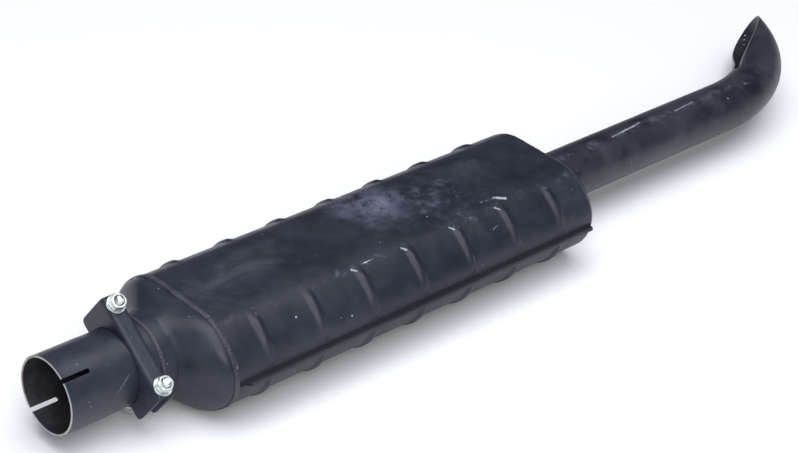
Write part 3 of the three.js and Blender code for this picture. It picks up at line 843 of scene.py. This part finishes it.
ts = list(np.linspace(-HALF, -36.2, 22)) + list(np.linspace(-35.44, 35.44, 90)) + list(np.linspace(36.2, HALF, 22))
rows = []
for t in ts:
    at = abs(t)
    low = low_edge(t)
    # the pipe's arc reaches under the web, where the flange is only a rib
    low = min(low, TOP - RB - 0.2)
    crown = 0.0
    endk = smooth((at - (HALF - 3.2)) / 3.2)
    top = TOP - 1.6 * endk ** 2
    col = []
    for sgn in (-1, 1):
        pts = []
        nseg = 8
        for i in range(nseg + 1):
            pts.append((low + (top - RB - low) * i / nseg, sgn * HW))
        for i in range(1, 6):
            g = i / 6 * math.pi / 2
            pts.append((top - RB + RB * math.sin(g), sgn * (HW - RB + RB * math.cos(g))))
        if sgn > 0:
            pts = pts[::-1]
        col.append(pts)
    web = [(top + crown, z) for z in np.linspace(-(HW - RB), HW - RB, 7)]
    line = col[0] + web + col[1]
    rows.append([C(t, d, z) for d, z in line])
saddle = grid("clamp_saddle_skin", rows, M_CLAMP, sharp=50.0)
# the outer skin's normals point away from the channel, so the sheet grows inwards
bm = bmesh.new()
bm.from_mesh(saddle.data)
bm.normal_update()
up = (Vector(C(0, 60, 0)) - Vector(C(0, 0, 0))).normalized()
mid_face = max(bm.faces, key=lambda f: f.calc_center_median().dot(Vector(P(C(0, 100, 0))) - Vector(P(C(0, 0, 0)))))
if mid_face.normal.dot(Vector((0, up.y, up.z))) < 0:
    bmesh.ops.reverse_faces(bm, faces=bm.faces)
bm.to_mesh(saddle.data)
bm.free()
sol = saddle.modifiers.new("sheet", "SOLIDIFY")
sol.thickness = TS / 1000.0
sol.offset = -1.0
apply_mods(saddle)
cut(saddle, [rod_cutter(C(s * 39.35, TOP, 0), DV, 4.5, 16, 32) for s in (-1, 1)], 45.0)
place(saddle, "saddle", "clamp_paint", "clamp_saddle")


# U-bolt with its rolled thread
def bolt():
    R, r, tip = 39.35, 4.0, 50.5
    path = []
    y = tip
    thread_to = 24.0
    while y > thread_to:
        path.append(("leg", 1, y))
        y -= 0.3125
    for yy in np.linspace(thread_to, 1.0, 5):
        path.append(("leg", 1, float(yy)))
    for i in range(0, 49):
        path.append(("arc", 0, math.pi * i / 48))
    for yy in np.linspace(1.0, thread_to, 5):
        path.append(("leg", -1, float(yy)))
    y = thread_to + 0.3125
    while y <= tip + 1e-6:
        path.append(("leg", -1, y))
        y += 0.3125
    seg = 28
    rows = []
    for i in range(seg):
        g = 2 * math.pi * i / seg
        row = []
        for kind, side, v in path:
            if kind == "leg":
                c = (side * R, v)
                nrm = (side * 1.0, 0.0)
                depth = 0.0
                if v > thread_to - 0.01:
                    ph = v / 1.25 + side * g / (2 * math.pi)
                    f = ph - math.floor(ph)
                    tri = 1 - abs(2 * f - 1)
                    depth = 0.62 * tri * smooth((v - thread_to) / 2.0)
                    depth = depth + 0.9 * smooth((v - (tip - 1.1)) / 1.1)
                rr = r - depth
            else:
                c = (R * math.cos(v), -R * math.sin(v))
                nrm = (math.cos(v), -math.sin(v))
                rr = r
            row.append(C(c[0] + nrm[0] * rr * math.cos(g), c[1] + nrm[1] * rr * math.cos(g), rr * math.sin(g)))
        rows.append(row)
    return grid("u_bolt_skin", rows, M_ZINC, loop_u=True, cap_v=True, sharp=50.0)


place(bolt(), "bolt", "zinc", "u_bolt")


def lathe_on_leg(name, side, profile_fn, nv, mat, seg=72, sharp=35.0):
    rows = []
    for i in range(seg):
        g = 2 * math.pi * i / seg
        row = []
        for j in range(nv):
            r, d = profile_fn(j, g)
            row.append(C(side * 39.35 + r * math.cos(g), d, r * math.sin(g)))
        rows.append(row)
    return grid(name, rows, mat, loop_u=True, loop_v=True, sharp=sharp)


W0, W1 = 38.3, 39.9
N0, N1 = 40.2, 46.7


def washer_profile(j, g):
    pts = [(4.45, W0 + 0.1), (4.6, W0), (8.25, W0), (8.5, W0 + 0.25), (8.5, W1 - 0.35), (8.2, W1), (4.7, W1), (4.45, W1 - 0.15)]
    return pts[j]


def nut_profile(j, g):
    ap = 6.5
    gg = (g + math.radians(12)) % (math.pi / 3) - math.pi / 6
    hexr = ap / math.cos(gg)
    zs = [N0, N0 + 0.35, N0 + 0.8, N0 + 1.3, (N0 + N1) / 2, N1 - 1.3, N1 - 0.8, N1 - 0.35, N1]
    if j < 9:
        z = zs[j]
        cone = 6.35 + 1.75 * min(z - N0, N1 - z)
        return min(hexr, cone), z
    ins = [(4.9, N1), (4.45, N1 - 0.5), (4.45, N0 + 0.5), (4.9, N0)]
    return ins[j - 9]


for side, tag, body in ((1, "upper", "nut_a"), (-1, "lower", "nut_b")):
    place(lathe_on_leg("washer_%s_skin" % tag, side, washer_profile, 8, M_ZINC), "saddle", "zinc", "washer_" + tag)
    place(lathe_on_leg("nut_%s_skin" % tag, side, nut_profile, 13, M_ZINC, seg=96, sharp=24.0), body, "zinc", "nut_" + tag)

# ------------------------------------------------------------------ inner pieces keep their CAD shape
for node in ("inlet_core_tube", "outlet_core_tube", "baffle_front", "baffle_middle", "baffle_rear"):
    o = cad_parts[node]
    o.data.materials.clear()
    o.data.materials.append(M_STEEL)

# ------------------------------------------------------------------ floor, light
bpy.ops.mesh.primitive_plane_add(size=16, location=(0, 0, -0.0006))
floor = bpy.context.object
floor.name = "floor"
fm = bpy.data.materials.new("floor")
fm.use_nodes = True
fb = next(n for n in fm.node_tree.nodes if n.type == "BSDF_PRINCIPLED")
fb.inputs["Base Color"].default_value = (0.92, 0.92, 0.92, 1)
fb.inputs["Roughness"].default_value = 0.9
fb.inputs["Specular IOR Level"].default_value = 0.1
floor.data.materials.append(fm)

world = bpy.data.worlds.new("studio")
scene.world = world
world.use_nodes = True
wt = world.node_tree
bg = next(n for n in wt.nodes if n.type == "BACKGROUND")
bg.inputs["Color"].default_value = (0.92, 0.96, 1.08, 1)
tc = wt.nodes.new("ShaderNodeTexCoord")


def w_math(op, a, b):
    n = wt.nodes.new("ShaderNodeMath")
    n.operation = op
    for i, v in enumerate((a, b)):
        if hasattr(v, "is_output"):
            wt.links.new(v, n.inputs[i])
        else:
            n.inputs[i].default_value = v
    return n.outputs[0]


def w_lobe(direction, lo_, hi_):
    """0 away from a direction, 1 towards it."""
    d = wt.nodes.new("ShaderNodeVectorMath")
    d.operation = "DOT_PRODUCT"
    wt.links.new(tc.outputs["Generated"], d.inputs[0])
    d.inputs[1].default_value = tuple(Vector(direction).normalized())
    mr = wt.nodes.new("ShaderNodeMapRange")
    mr.interpolation_type = "SMOOTHSTEP"
    mr.inputs["From Min"].default_value = lo_
    mr.inputs["From Max"].default_value = hi_
    wt.links.new(d.outputs["Value"], mr.inputs["Value"])
    return mr.outputs["Result"]


# a dim room behind the object, brighter towards its near side and overhead
strength = w_math("ADD", 0.05, w_math("MULTIPLY", w_lobe((-0.75, -0.75, 0.25), 0.0, 0.95), 0.45))
strength = w_math("ADD", strength, w_math("MULTIPLY", w_lobe((0.0, -0.15, 1.0), 0.72, 0.97), 1.0))
wt.links.new(strength, bg.inputs["Strength"])


def area(name, loc, target, size, power, color=(1, 1, 1)):
    ld = bpy.data.lights.new(name, "AREA")
    ld.shape = "RECTANGLE"
    ld.size, ld.size_y = size
    ld.energy = power
    ld.color = color
    lo_ = bpy.data.objects.new(name, ld)
    lo_.location = loc
    lo_.rotation_euler = (Vector(target) - Vector(loc)).to_track_quat("-Z", "Y").to_euler()
    scene.collection.objects.link(lo_)


area("key", (-1.5, -1.9, 1.6), (-0.1, 0, 0.05), (1.6, 1.0), 22, (0.97, 0.98, 1.0))
area("top", (-0.3, -0.3, 2.6), (0, 0, 0), (3.0, 3.0), 62, (0.98, 0.99, 1.0))
scene.view_settings.view_transform = "Standard"
